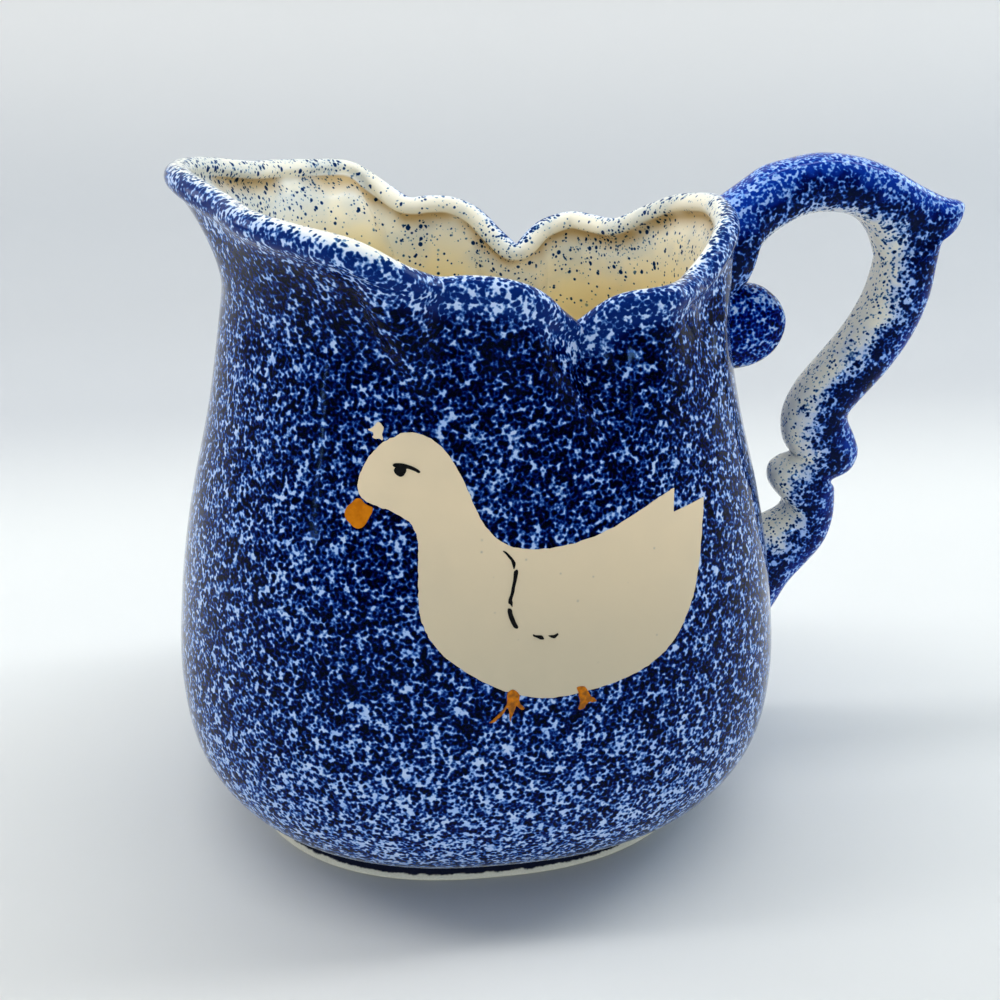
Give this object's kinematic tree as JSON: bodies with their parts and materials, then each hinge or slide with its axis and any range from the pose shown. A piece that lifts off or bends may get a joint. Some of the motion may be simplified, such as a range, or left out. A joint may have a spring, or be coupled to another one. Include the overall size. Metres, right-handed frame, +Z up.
{
  "type": "pitcher",
  "caption": "Squat ceramic pitcher with a scalloped rolled rim, wide pouring lip, double scroll handle, blue sponged glaze and a painted duck on the front.",
  "frame": {"origin": "on the table, under the middle of the pitcher's overall box", "axes": "+X from the lip towards the handle, +Y away from the duck, towards the plain back, +Z up"},
  "size_m": [0.1976, 0.1474, 0.1574],
  "materials": {
    "spatter_glaze": "glossy cobalt blue sponged glaze over white",
    "rim_glaze": "glossy cream glaze sponged with blue",
    "bare_clay": "dry unglazed clay",
    "cream_slip": "smooth cream slip under clear glaze",
    "ochre_enamel": "ochre enamel",
    "black_enamel": "black brushed enamel"
  },
  "bodies": {
    "root": {"body_shell": "spatter_glaze", "rolled_rim": "rim_glaze", "foot_ring": "bare_clay", "handle_arch": "spatter_glaze", "handle_root_scroll": "spatter_glaze", "handle_tail": "spatter_glaze", "duck_figure": "cream_slip", "slip_smudge": "cream_slip", "duck_bill": "ochre_enamel", "duck_front_foot": "ochre_enamel", "duck_back_foot": "ochre_enamel", "duck_eye": "black_enamel", "wing_stroke_upper": "black_enamel", "wing_stroke_middle": "black_enamel", "wing_stroke_lower": "black_enamel", "wing_dash_left": "black_enamel", "wing_dash_right": "black_enamel"}
  },
  "joints": []
}
